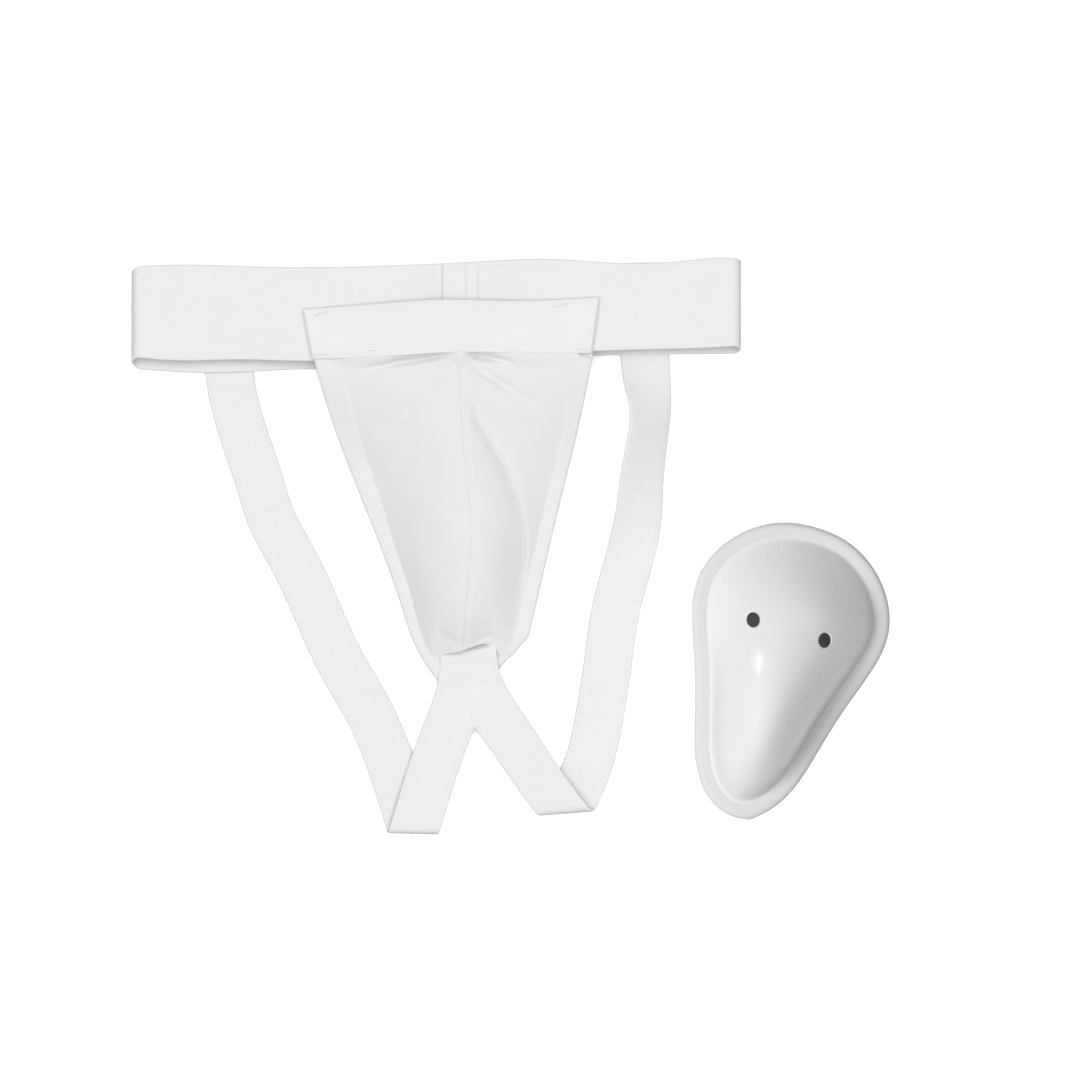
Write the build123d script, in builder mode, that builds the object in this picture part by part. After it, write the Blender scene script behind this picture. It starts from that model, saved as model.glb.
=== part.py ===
from build123d import *
import os
from math import atan2, cos, degrees, hypot, radians, sin

# Groin protector: an elastic supporter with a cup pocket, and the hard cup that goes in it.
# The supporter lies flat on its back, front upwards, waistband towards +Y. The cup lies beside
# it, hollow side down. Millimetres, +Z up, origin at the middle of the resting footprint.

# Elastic and fabric
waistband_width = 49.0
waistband_length = 321.6
waistband_thickness = 1.8
waistband_centre = (-39.5, 124.9)
waistband_tilt = 0.9
strap_width = 25.4
strap_thickness = 1.6
panel_thickness = 1.0
binding_thickness = 2.2
band_thickness = 1.6
loop_gap = 7.0
strap_overlap = 20.0

# Heights of the layers, from the floor up
back_half_bottom = strap_thickness
front_half_bottom = back_half_bottom + waistband_thickness + loop_gap
front_half_top = front_half_bottom + waistband_thickness
pocket_top_height = front_half_top + panel_thickness
left_front_leg_bottom = panel_thickness + binding_thickness
right_front_leg_bottom = left_front_leg_bottom + strap_thickness

# Pouch: side edges from the waistband down to the crotch, and the seam line between them
pouch_left_edge = [(-109.6, 122.0), (-94.9, 66.5), (-73.1, 9.3), (-54.6, -48.0), (-38.0, -72.0)]
pouch_right_edge = [(46.4, 122.0), (36.6, 66.5), (22.8, 9.3), (9.5, -46.0), (-6.0, -65.5)]
pouch_top = 122.0
slope_start = 35.0
slope_end = 97.0
binding_width_left = (13.0, 7.5)
binding_width_right = (-8.5, -6.0)
panel_clearance = 0.5
panel_lift = 0.35
ridge_height = 22.5

# Folded band along the top of the pouch, standing off the waistband between its tacked ends
band_corners = [(-104.9, 98.8), (-110.2, 124.3), (47.2, 131.2), (42.4, 101.5)]
band_top_middle = (-32.0, 129.8)
band_lower_middle = (-30.0, 102.8)
band_rise = 8.5
band_flat_end = 14.0
band_bottom = 98.4

# Leg straps: centre lines of the leg behind and of the leg that is folded forward over it
left_back_leg = [
    (-150.5, 121.0), (-149.0, 90.0), (-133.6, 34.7), (-97.0, -48.0), (-70.8, -99.0), (-48.5, -156.0),
]
left_front_leg = [(-52.5, -157.0), (-45.6, -130.6), (-35.5, -100.4), (-24.8, -60.0)]
left_crease = (-51.0, -149.5)
left_crease_angle = 0.0
right_back_leg = [
    (72.0, 121.0), (75.0, 74.0), (68.6, 28.0), (57.5, -22.5), (49.0, -73.4), (42.5, -108.0), (27.0, -147.0),
]
right_front_leg = [(32.0, -147.0), (12.2, -121.6), (-8.5, -89.8), (-18.8, -60.5)]
right_crease = (28.0, -137.8)
right_crease_angle = 7.2
left_fold_length = 27.2
right_fold_length = 29.0

# Cup: half outline about its own long axis, measured from the point midway between the vents
cup_position = (145.95, -44.3)
cup_angle = 16.0
cup_height = 52.0
cup_half_outline = [
    (0, 56), (20.5, 52.6), (36.8, 42.4), (48.6, 26.5), (52.6, 11.5), (48.9, -10.6),
    (41.5, -31.8), (35.2, -53), (30.6, -70), (24.6, -85), (14.8, -97.2), (0, -103),
]
cup_rim_width = 8.5
cup_rim_height = 7.0
cup_rim_rounding = 2.6
cup_wall = 3.0
flange_width = 5.0
flange_bottom = 2.5
flange_thickness = 2.5
vent_diameter = 7.0
vent_spacing = 38.6
dome_angles = [0, 18, 36, 52, 66, 78, 86]

# Sewing thread
thread = 0.4
thread_lift = 0.2
seam_lift = 0.3
stitch_length = 2.4
stitch_pitch = 3.6
zigzag_width = 3.2
tack_length = 8.0
tack_width = 1.6

os.makedirs("parts", exist_ok=True)


def save(part, name):
    """Label a finished piece and write it as its own file."""
    part.label = name
    export_step(part, f"parts/{name}.step")


def beside(curve, distance, steps, end_distance=None):
    """Points at even steps along a flat curve, moved to its left by a distance that may taper."""
    growth = 0.0 if end_distance is None else end_distance - distance
    points = []
    for step in range(steps + 1):
        tangent = curve % (step / steps)
        left = Vector(-tangent.Y, tangent.X)
        points.append(curve @ (step / steps) + left * (distance + growth * step / steps))
    return points


def ribbon(points, width):
    """Flat outline of a ribbon of even width along a smooth centre line."""
    centre = Spline(*points)
    with BuildSketch() as outline:
        with BuildLine():
            left = Spline(*beside(centre, width / 2, 12))
            right = Spline(*beside(centre, -width / 2, 12))
            Line(left @ 0, right @ 0)
            Line(left @ 1, right @ 1)
        make_face()
    return outline.sketch


def stitches(paths, width=thread, length=stitch_length, pitch=stitch_pitch):
    """Short straight stitches lying on the upper side of each path."""
    with BuildPart() as row:
        for path in paths:
            count = max(1, round(path.length / pitch))
            for index in range(count):
                along = path % ((index + 0.5) / count)
                up = along.cross(Vector(0, 0, 1).cross(along).normalized())
                middle = path @ ((index + 0.5) / count) + up * thread_lift
                with BuildSketch(Plane(middle, along, up)):
                    Rectangle(length, width)
        extrude(amount=thread)
    return row.part


def zigzag(start, end, width, height):
    """One closed row of zigzag thread between two points of a level surface."""
    run = Vector(*end) - Vector(*start)
    side = Vector(-run.Y, run.X).normalized() * width / 2
    count = max(3, round(run.length / thread / 4))
    turns = []
    for index in range(count + 1):
        swing = side if index % 2 else side * -1
        turns.append(Vector(*start) + run * (index / count) + swing)
    with BuildPart() as row:
        with BuildSketch(Plane.XY.offset(height)):
            with BuildLine():
                Polyline(*turns)
            trace(line_width=thread)
        extrude(amount=thread)
    return row.part


# Waistband: one loop of elastic, pressed flat, its ends lapped and sewn at the centre front
loop_height = front_half_top - back_half_bottom
waistband_plane = Plane(
    origin=(*waistband_centre, back_half_bottom + loop_height / 2),
    x_dir=(cos(radians(waistband_tilt)), sin(radians(waistband_tilt)), 0),
    z_dir=(sin(radians(waistband_tilt)), -cos(radians(waistband_tilt)), 0),
)
lap_left = 2.8
lap_length = 22.6
lap_groove = 0.8

with BuildPart() as waistband:
    with BuildSketch(waistband_plane):
        SlotOverall(waistband_length, loop_height)
        SlotOverall(waistband_length - 2 * waistband_thickness, loop_gap, mode=Mode.SUBTRACT)
        with Locations((lap_left, loop_gap / 2)):
            Rectangle(lap_length, waistband_thickness, align=(Align.MIN, Align.MAX))
        with Locations((lap_left, loop_height / 2)):
            Rectangle(lap_groove, lap_groove, align=(Align.MAX, Align.MAX), mode=Mode.SUBTRACT)
    extrude(amount=waistband_width / 2, both=True)
save(waistband.part, "waistband_elastic")

lap_rows = []
for row_x in (-24.0, -17.5):
    lap_rows.append(zigzag((row_x, pouch_top + 2), (row_x, 149.0), zigzag_width, front_half_top))
with BuildPart() as lap_stitching:
    add(lap_rows)
save(lap_stitching.part, "waistband_lap_stitching")


def lay_height(y):
    """Height of the underside of the pouch at a distance along it."""
    climb = min(1.0, max(0.0, (y - slope_start) / (slope_end - slope_start)))
    return front_half_top * climb * climb * (3 - 2 * climb)


def lay_profile(bottom, top):
    """Side view of a layer of the pouch, level on the floor and then up onto the waistband."""
    slope = [slope_start + (slope_end - slope_start) * step / 4 for step in range(5)]
    with BuildSketch(Plane.YZ) as profile:
        with BuildLine():
            for height in (bottom, top):
                points = [(y, lay_height(y) + height) for y in slope]
                rise = Spline(*points, tangents=((1, 0), (1, 0)))
                Line((-90, height), rise @ 0)
                Line(rise @ 1, (pouch_top, front_half_top + height))
            Line((-90, bottom), (-90, top))
            Line((pouch_top, front_half_top + bottom), (pouch_top, front_half_top + top))
        make_face()
    return profile.sketch


def edge_at(curve, y):
    """How far across the pouch a side edge is, at a distance along it."""
    low = 0.0
    high = 1.0
    for _ in range(24):
        middle = (low + high) / 2
        if (curve @ middle).Y > y:
            low = middle
        else:
            high = middle
    return (curve @ low).X


left_side = Spline(*pouch_left_edge)
right_side = Spline(*pouch_right_edge)

# Back of the cup pocket, the layer against the body
with BuildPart() as back_panel:
    with BuildSketch():
        with BuildLine():
            left = Spline(*pouch_left_edge)
            right = Spline(*pouch_right_edge)
            Line(left @ 0, right @ 0)
            Line(left @ 1, right @ 1)
        make_face()
    extrude(amount=front_half_top + 10)
    extrude(lay_profile(0, panel_thickness), amount=200, both=True, mode=Mode.INTERSECT)
save(back_panel.part, "pouch_back_panel")


def binding(edge_points, width):
    """Binding folded over one side edge of the pouch, from the band down to the crotch."""
    with BuildPart() as strip:
        with BuildSketch():
            with BuildLine():
                outer = Spline(*edge_points)
                inner = Spline(*beside(outer, width[0], 12, width[1]))
                Line(outer @ 0, inner @ 0)
                Line(outer @ 1, inner @ 1)
            make_face()
            with Locations((0, band_bottom)):
                Rectangle(400, 60, align=(Align.CENTER, Align.MIN), mode=Mode.SUBTRACT)
        extrude(amount=front_half_top + 10)
        layer = lay_profile(panel_thickness, panel_thickness + binding_thickness)
        extrude(layer, amount=200, both=True, mode=Mode.INTERSECT)
    return strip.part


def binding_path(edge, width):
    """Line of stitches along a binding, on its upper side."""
    line = beside(edge, width[0] * 0.75, 12, width[1] * 0.75)
    top = panel_thickness + binding_thickness
    points = []
    for point in line:
        if point.Y < band_bottom - 4:
            points.append((point.X, point.Y, lay_height(point.Y) + top))
    return Spline(*points[:-1])


save(binding(pouch_left_edge, binding_width_left), "side_binding_left")
save(binding(pouch_right_edge, binding_width_right), "side_binding_right")
save(stitches([binding_path(left_side, binding_width_left)]), "binding_stitching_left")
save(stitches([binding_path(right_side, binding_width_right)]), "binding_stitching_right")


# Front of the pouch: two shaped panels that meet in a raised seam down the middle
def section(y, foot, seam, seam_height, shoulder_across, shoulder_up):
    """Cut through one front panel, from its foot on the back panel up to the seam."""
    floor = lay_height(y) + panel_thickness + panel_lift
    inward = panel_thickness if seam > foot else -panel_thickness
    shoulder_x = foot + (seam - foot) * shoulder_across
    shoulder = floor + (seam_height - floor) * shoulder_up
    with BuildSketch(Plane.XZ.offset(-y)) as cut:
        with BuildLine():
            outer = Spline((foot, floor), (shoulder_x, shoulder), (seam, seam_height))
            inner = Spline(
                (foot + inward, floor),
                (shoulder_x + inward * 0.5, shoulder - panel_thickness),
                (seam, seam_height - panel_thickness),
            )
            Line(outer @ 0, inner @ 0)
            Line(outer @ 1, inner @ 1)
        make_face()
    return cut.sketch


# Along the pouch: distance, seam position, seam height, shoulder's share across and share up
pouch_stations = [
    (band_bottom - 0.4, -26.0, pocket_top_height + 7.0, 0.38, 0.78),
    (84.0, -25.4, 20.8, 0.38, 0.74),
    (68.0, -24.6, 21.6, 0.38, 0.70),
    (50.0, -23.8, 22.2, 0.38, 0.68),
    (32.0, -23.0, ridge_height, 0.38, 0.68),
    (4.0, -20.6, 22.0, 0.38, 0.70),
    (-26.0, -21.5, 20.0, 0.34, 0.74),
    (-46.0, -23.6, 16.0, 0.26, 0.80),
    (-61.5, -25.0, 11.5, 0.15, 0.80),
]


def front_panel(edge, width):
    """One half of the front of the pouch, lofted down its stations."""
    clearance = panel_clearance if width[0] > 0 else -panel_clearance
    feet = Spline(*beside(edge, width[0] + clearance, 12, width[1] + clearance))
    with BuildPart() as panel:
        for station in pouch_stations:
            add(section(station[0], edge_at(feet, station[0]), *station[1:]))
        loft()
    return panel.part


save(front_panel(left_side, binding_width_left), "pouch_front_panel_left")
save(front_panel(right_side, binding_width_right), "pouch_front_panel_right")

seam_line = Spline(*[(seam, y, top + seam_lift) for y, seam, top, _, _ in pouch_stations])
save(stitches([seam_line]), "centre_seam_stitching")


# Folded band along the mouth of the pocket
band_left = band_corners[1][0] - 1
band_right = band_corners[2][0] + 1


def band_arch(height):
    """Front view of the band's curve, level at both tacked ends and standing off between them."""
    middle = (band_left + band_right) / 2
    level = pocket_top_height + height
    return [
        (band_left + band_flat_end, level),
        ((band_left + middle) / 2, level + band_rise * 0.62),
        (middle, level + band_rise),
        ((band_right + middle) / 2, level + band_rise * 0.62),
        (band_right - band_flat_end, level),
    ]


with BuildPart() as top_band:
    with BuildSketch():
        with BuildLine():
            Line(band_corners[0], band_corners[1])
            ThreePointArc(band_corners[1], band_top_middle, band_corners[2])
            Line(band_corners[2], band_corners[3])
            ThreePointArc(band_corners[3], band_lower_middle, band_corners[0])
        make_face()
    extrude(amount=front_half_top + 30)
    with BuildSketch(Plane.XZ):
        with BuildLine():
            for height in (0, band_thickness):
                curve = Spline(*band_arch(height), tangents=((1, 0), (1, 0)))
                Line((band_left, pocket_top_height + height), curve @ 0)
                Line(curve @ 1, (band_right, pocket_top_height + height))
            for end_x in (band_left, band_right):
                Line((end_x, pocket_top_height), (end_x, pocket_top_height + band_thickness))
        make_face()
    extrude(amount=200, both=True, mode=Mode.INTERSECT)
save(top_band.part, "pouch_top_band")

band_curve = Spline(*band_arch(band_thickness), tangents=((1, 0), (1, 0)))
hem_points = []
for step in range(13):
    point = band_curve @ (step / 12)
    across = (point.X - band_lower_middle[0]) / 75
    hem_points.append((point.X, band_lower_middle[1] + 2.2 - 2.4 * across * across, point.Y))
save(stitches([Spline(*hem_points)]), "band_hem_stitching")

band_top = pocket_top_height + band_thickness
corner_tacks = {
    "pouch_corner_tacks_left": [(-102.5, 106.0), (-106.5, 121.0)],
    "pouch_corner_tacks_right": [(34.0, 107.5), (37.0, 127.5)],
}
for name, places in corner_tacks.items():
    bars = []
    for x, y in places:
        bars.append(zigzag((x, y), (x + tack_length, y), tack_width, band_top + thread_lift))
    with BuildPart() as tacks:
        add(bars)
    save(tacks.part, name)


# Leg straps: one length of elastic each, folded over at the bottom and sewn at both ends
def leg_strap(back_leg, front_leg, crease, angle, front_height, fold_length):
    """One strap: the leg behind, the rounded fold along the crease, the leg in front."""
    radius = front_height / 2
    fold = Plane(
        origin=(*crease, radius),
        x_dir=(sin(radians(angle)), -cos(radians(angle)), 0),
        z_dir=(cos(radians(angle)), sin(radians(angle)), 0),
    )
    with BuildPart() as strap:
        for leg, height in ((back_leg, 0), (front_leg, front_height - strap_thickness)):
            with BuildSketch(Plane.XY.offset(height)):
                add(ribbon(leg, strap_width))
                with Locations(crease):
                    Rectangle(120, 60, angle, align=(Align.CENTER, Align.MAX), mode=Mode.SUBTRACT)
            extrude(amount=strap_thickness)
        with BuildSketch(fold):
            Circle(radius)
            Circle(radius - strap_thickness, mode=Mode.SUBTRACT)
            Rectangle(4 * radius, 4 * radius, align=(Align.MAX, Align.CENTER), mode=Mode.SUBTRACT)
        extrude(amount=fold_length / 2, both=True)
    return strap.part


left_strap = leg_strap(
    left_back_leg, left_front_leg, left_crease, left_crease_angle,
    left_front_leg_bottom + strap_thickness, left_fold_length,
)
right_strap = leg_strap(
    right_back_leg, right_front_leg, right_crease, right_crease_angle,
    right_front_leg_bottom + strap_thickness, right_fold_length,
)
save(left_strap, "leg_strap_left")
save(right_strap, "leg_strap_right")


def box_tack(x, y):
    """Sewn square with a cross in it, holding a strap's end inside the waistband."""
    width = strap_width - 6
    height = strap_overlap - 6
    diagonal = degrees(atan2(height, width))
    with BuildPart() as tack:
        with BuildSketch(Plane.XY.offset(back_half_bottom + waistband_thickness)):
            with Locations((x, y)):
                Rectangle(width, height)
                Rectangle(width - 4 * thread, height - 4 * thread, mode=Mode.SUBTRACT)
                for turn in (diagonal, -diagonal):
                    Rectangle(hypot(width, height) - 3, 2 * thread, turn)
        extrude(amount=thread)
    return tack.part


save(box_tack(left_back_leg[0][0] + 0.4, 111.5), "strap_end_tack_left")
save(box_tack(right_back_leg[0][0] + 0.6, 112.5), "strap_end_tack_right")

# Bar of thread through both strap ends and the tip of the back panel
crotch_tack_height = right_front_leg_bottom + strap_thickness
save(zigzag((-29.0, -64.5), (-14.0, -63.5), 1.8, crotch_tack_height), "crotch_tack")


# Cup: hard shell on a soft edge cushion, both about the cup's own long axis
cup_plane = Plane(
    origin=(*cup_position, 0),
    x_dir=(cos(radians(cup_angle)), -sin(radians(cup_angle)), 0),
    z_dir=(0, 0, 1),
)
mirrored_half = [(-x, y) for x, y in cup_half_outline[-2:0:-1]]
cup_edge = Spline(*cup_half_outline, *mirrored_half, periodic=True)


def cup_outline(height, inset=0.0, factor=1.0):
    """The cup's outline at a height, moved inwards evenly and then shrunk about the crown."""
    points = [point * factor for point in beside(cup_edge, -inset, 26)]
    with BuildSketch(cup_plane.offset(height)) as outline:
        with BuildLine():
            Spline(*points[:-1], periodic=True)
        make_face()
    return outline.sketch


def dome(inset, bottom, rise):
    """Smooth dome over the cup's outline, level by level up to the crown."""
    with BuildPart() as body:
        for angle in dome_angles:
            level = bottom + rise * sin(radians(angle))
            add(cup_outline(level, inset, cos(radians(angle))))
        loft()
    return body.part


with BuildPart() as cup_shell:
    add(dome(cup_rim_width, flange_bottom, cup_height - flange_bottom))
    add(cup_outline(flange_bottom, cup_rim_width - flange_width))
    extrude(amount=flange_thickness)
    inside = dome(cup_rim_width + cup_wall, flange_bottom, cup_height - flange_bottom - cup_wall)
    add(inside, mode=Mode.SUBTRACT)
    with BuildSketch(cup_plane):
        with GridLocations(vent_spacing, 0, 2, 1):
            Circle(vent_diameter / 2)
    extrude(amount=cup_height, mode=Mode.SUBTRACT)
save(cup_shell.part, "cup_shell")

with BuildPart() as cup_cushion:
    add(cup_outline(0))
    extrude(amount=cup_rim_height)
    rim_edges = cup_cushion.faces().filter_by(Axis.Z).edges()
    fillet(rim_edges, radius=cup_rim_rounding)
    add(cup_outline(0, cup_rim_width))
    extrude(amount=cup_rim_height, mode=Mode.SUBTRACT)
    add(cup_outline(flange_bottom, cup_rim_width - flange_width))
    extrude(amount=flange_thickness, mode=Mode.SUBTRACT)
save(cup_cushion.part, "cup_edge_cushion")
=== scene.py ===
import random
from math import cos, hypot, pi, radians, sin

import bmesh
import bpy
import numpy as np
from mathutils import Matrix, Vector


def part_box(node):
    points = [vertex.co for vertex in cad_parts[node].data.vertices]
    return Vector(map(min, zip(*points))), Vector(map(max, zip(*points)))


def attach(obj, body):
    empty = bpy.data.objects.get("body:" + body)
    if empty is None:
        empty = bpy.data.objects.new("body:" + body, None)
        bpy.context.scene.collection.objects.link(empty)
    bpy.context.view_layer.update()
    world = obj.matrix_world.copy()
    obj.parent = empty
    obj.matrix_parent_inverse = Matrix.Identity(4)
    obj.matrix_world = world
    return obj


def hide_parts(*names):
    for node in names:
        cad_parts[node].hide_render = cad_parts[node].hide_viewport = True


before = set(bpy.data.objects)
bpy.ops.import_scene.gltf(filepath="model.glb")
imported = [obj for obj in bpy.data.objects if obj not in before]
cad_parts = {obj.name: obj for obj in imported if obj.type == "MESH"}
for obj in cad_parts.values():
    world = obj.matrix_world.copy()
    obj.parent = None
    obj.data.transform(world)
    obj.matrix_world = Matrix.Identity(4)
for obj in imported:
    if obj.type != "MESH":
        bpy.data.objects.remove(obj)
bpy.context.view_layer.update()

# Groin protector laid out flat: a white elastic supporter, and beside it the hard cup.
# Shapes are worked out in millimetres in the frame's own axes and turned into metres when built.

MM = 0.001
random.seed(7)

# -------- driving sizes, millimetres

band_low, band_high = (np.array(corner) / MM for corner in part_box("waistband_elastic"))
FRONT_TOP = band_high[2]
BACK_BOTTOM = band_low[2]
CUP_HEIGHT = float(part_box("cup_shell")[1][2]) / MM

# thicknesses of the cloths and threads, and the webbing's width
ELASTIC = 1.7
WEBBING = 1.5
WEBBING_WIDTH = 25.6
KNIT = 1.0
BINDING = 2.0
TOP_BAND = 1.7
THREAD = 0.26
FINE_THREAD = 0.2
HEAVY_THREAD = 0.44


# -------- curves and sheets

def run_length(points):
    """How far along a line each of its points is."""
    steps = np.linalg.norm(np.diff(np.asarray(points, float), axis=0), axis=1)
    return np.concatenate([[0], np.cumsum(steps)])


def cubic(t, values, at):
    """Natural cubic curve through values at t, read at other places."""
    t = np.asarray(t, float)
    values = np.asarray(values, float).reshape(len(t), -1)
    at = np.clip(np.asarray(at, float), t[0], t[-1])
    n = len(t)
    h = np.diff(t)
    matrix = np.eye(n)
    right = np.zeros_like(values)
    for i in range(1, n - 1):
        matrix[i, i - 1] = h[i - 1]
        matrix[i, i] = 2 * (h[i - 1] + h[i])
        matrix[i, i + 1] = h[i]
        right[i] = 6 * ((values[i + 1] - values[i]) / h[i] - (values[i] - values[i - 1]) / h[i - 1])
    bend = np.linalg.solve(matrix, right)
    k = np.clip(np.searchsorted(t, at) - 1, 0, n - 2)
    a = ((t[k + 1] - at) / h[k])[:, None]
    b = ((at - t[k]) / h[k])[:, None]
    h2 = (h[k] ** 2 / 6)[:, None]
    return a * values[k] + b * values[k + 1] + ((a**3 - a) * bend[k] + (b**3 - b) * bend[k + 1]) * h2


def read(points, at):
    """Height of the smooth curve through (place, value) points, at other places."""
    t, values = zip(*points)
    at = np.asarray(at, float)
    return cubic(t, values, at.ravel()).reshape(at.shape)


def smooth_path(points, count):
    """Evenly spaced points along the smooth curve through a few chosen ones."""
    p = np.array(points, float)
    t = run_length(p)
    fine = cubic(t, p, np.linspace(0, t[-1], 800))
    s = run_length(fine)
    even = np.linspace(0, s[-1], count)
    return np.stack([np.interp(even, s, column) for column in fine.T], axis=1)


def unit(v):
    """Vectors made one long, row by row."""
    return v / np.maximum(np.linalg.norm(v, axis=-1, keepdims=True), 1e-9)


def bump(distance, width):
    """Soft hump, one high at zero distance."""
    return np.exp(-((distance / width) ** 2))


def ease(x):
    """Smooth step from 0 to 1."""
    x = np.clip(x, 0, 1)
    return x * x * (3 - 2 * x)


def make_object(name, vertices, faces, uv=None, sharp=()):
    """A smooth-shaded mesh object from points in millimetres."""
    mesh = bpy.data.meshes.new(name)
    mesh.from_pydata([tuple(v) for v in np.asarray(vertices) * MM], [], faces)
    if uv is not None:
        layer = mesh.uv_layers.new(name="along")
        corners = np.empty(len(mesh.loops), dtype=np.int64)
        mesh.loops.foreach_get("vertex_index", corners)
        layer.data.foreach_set("uv", (np.asarray(uv, float)[corners]).ravel())
    mesh.polygons.foreach_set("use_smooth", [True] * len(mesh.polygons))
    for index in sharp:
        mesh.polygons[index].use_smooth = False
    mesh.update()
    piece = bpy.data.objects.new(name, mesh)
    bpy.context.scene.collection.objects.link(piece)
    work = bmesh.new()
    work.from_mesh(mesh)
    bmesh.ops.recalc_face_normals(work, faces=work.faces)
    work.to_mesh(mesh)
    work.free()
    return piece


def bridge(first, second, count):
    """Faces between two closed rings, given where each starts among the points."""
    for j in range(count):
        m = (j + 1) % count
        yield first + j, first + m, second + m, second + j


def sheet(name, grid, thickness, rounding=5):
    """Closed thin body round a grid of mid-surface points, with rounded long edges."""
    grid = np.asarray(grid, float)
    rows, columns, _ = grid.shape
    along = unit(np.gradient(grid, axis=0))
    across = unit(np.gradient(grid, axis=1))
    normal = unit(np.cross(along, across))
    half = thickness / 2
    ring = [grid[:, j] + normal[:, j] * half for j in range(columns)]
    side = list(range(columns))
    for k in range(1, rounding):
        turn = pi / 2 - pi * k / rounding
        ring.append(grid[:, -1] + normal[:, -1] * half * sin(turn) + across[:, -1] * half * cos(turn))
        side.append(columns - 1)
    for j in reversed(range(columns)):
        ring.append(grid[:, j] - normal[:, j] * half)
        side.append(j)
    for k in range(1, rounding):
        turn = -pi / 2 + pi * k / rounding
        ring.append(grid[:, 0] + normal[:, 0] * half * sin(turn) - across[:, 0] * half * cos(turn))
        side.append(0)
    ring = np.stack(ring, axis=1)
    size = ring.shape[1]
    length = run_length(grid[:, columns // 2])
    width = np.zeros((rows, columns))
    width[:, 1:] = np.cumsum(np.linalg.norm(np.diff(grid, axis=1), axis=2), axis=1)
    width -= width[:, -1:] / 2
    uv = np.stack([width[:, side], np.repeat(length[:, None], size, axis=1)], axis=2)
    faces = []
    for i in range(rows - 1):
        faces.extend(bridge(i * size, (i + 1) * size, size))
    first_cap = len(faces)
    for base in (0, (rows - 1) * size):
        last = base + 2 * (columns - 1) + rounding
        for j in range(columns - 1):
            faces.append((base + j, base + j + 1, last - 1 - j, last - j))
        faces.append(tuple(base + columns - 1 + k for k in range(rounding + 1)))
        faces.append((*(last + k for k in range(rounding)), base))
    caps = range(first_cap, len(faces))
    return make_object(name, ring.reshape(-1, 3), faces, uv.reshape(-1, 2), caps)


def tube(path, radius, sides=6):
    """Points and faces of a round thread along a path, with closed ends."""
    path = np.asarray(path, float)
    along = unit(np.gradient(path, axis=0))
    up = np.array([0.0, 0.0, 1.0])
    across = unit(np.cross(along, up) + np.array([1e-6, 0, 0]))
    lift = unit(np.cross(across, along))
    n = len(path)
    blunt = 0.16
    ends = np.sin(np.linspace(blunt, pi - blunt, n)) ** 0.35
    vertices = []
    for i in range(n):
        for k in range(sides):
            turn = 2 * pi * k / sides
            ray = across[i] * cos(turn) + lift[i] * sin(turn)
            vertices.append(path[i] + ray * radius * ends[i])
    faces = []
    for i in range(n - 1):
        faces.extend(bridge(i * sides, (i + 1) * sides, sides))
    faces.append(tuple(range(sides)))
    faces.append(tuple((n - 1) * sides + k for k in range(sides)))
    return vertices, faces


def threads(name, paths, thickness):
    """One object of many separate short threads."""
    vertices = []
    faces = []
    for path in paths:
        v, f = tube(path, thickness / 2)
        start = len(vertices)
        vertices.extend(v)
        faces.extend([tuple(start + i for i in face) for face in f])
    return make_object(name, vertices, faces)


def stitch_row(line, length=2.3, gap=0.75, lift=0.1, sunk=0.08):
    """Separate stitches along a line on a surface, each a low arch that dives in at its ends."""
    line = np.asarray(line, float)
    s = run_length(line)
    arch = lift * np.sin(np.linspace(0, pi, 7)) - sunk
    paths = []
    start = 0.0
    while start + length < s[-1]:
        at = np.linspace(start, start + length * random.uniform(0.94, 1.04), len(arch))
        path = np.stack([np.interp(at, s, column) for column in line.T], axis=1)
        path[:, 2] += arch
        paths.append(path)
        start += length + gap
    return paths


def zigzag_row(start, end, width, pitch, height, lift=0.16, clear=0.02):
    """One continuous zigzag thread between two points; height gives the surface it lies on."""
    arch = lift * np.sin(np.linspace(0, pi, 6)) + clear
    start = np.array(start, float)
    end = np.array(end, float)
    run = end - start
    side = np.array([-run[1], run[0]]) / np.linalg.norm(run)
    turns = max(2, int(np.linalg.norm(run) / pitch * 2))
    paths = []
    for i in range(turns):
        a = start + run * i / turns + side * width / 2 * (-1) ** i
        b = start + run * (i + 1) / turns - side * width / 2 * (-1) ** i
        flat = a + (b - a) * np.linspace(0, 1, len(arch))[:, None]
        level = np.array([height(x, y) for x, y in flat])
        paths.append(np.column_stack([flat, level + arch]))
    return paths


# -------- how the supporter lies

# the pouch's side edges, as (x, y)
LEFT_EDGE = [(-110.2, 124), (-94.9, 66.5), (-73.1, 9.3), (-57.6, -34), (-53.0, -48), (-46.8, -60.5),
             (-38.6, -72)]
RIGHT_EDGE = [(47.2, 124), (36.6, 66.5), (22.8, 9.3), (14.4, -27), (10.6, -43.5), (9.0, -48.6),
              (5.8, -52.4), (-6.4, -65.2)]
# widths of the bindings, as (y, width)
LEFT_BINDING = [(-72, 7), (-57, 12.6), (-44, 11.2), (30, 12), (102, 13)]
RIGHT_BINDING = [(-66, 8), (-56, 8.6), (-40, 9.2), (30, 9.4), (102, 9.6)]
# the long valley in the right panel, as (y, x), and its height as a share of the seam's, as (y, share)
RIGHT_VALLEY = [(-66, -8), (-50, 0.5), (-40, 3.6), (-22, 7.0), (5, 9.4), (17, 7.8), (26, 5.0),
                (38, -0.8), (53, -9.8), (66, -17.5), (84, -16), (104, -14)]
VALLEY_DEPTH = [(-66, 0.02), (-30, 0.05), (0, 0.16), (20, 0.36), (40, 0.57), (55, 0.72), (66, 0.82),
                (84, 0.88), (104, 0.9)]
# the front panels' lower edge, as (x, y)
LIP = [(-56, -74), (-46, -70), (-40, -64), (-37, -59.6), (-34, -57.6), (-29, -56.6), (-23, -54.6),
       (-15, -52.2), (-11, -52.6), (-8, -55.4), (-5, -59.4), (2, -65)]
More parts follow.
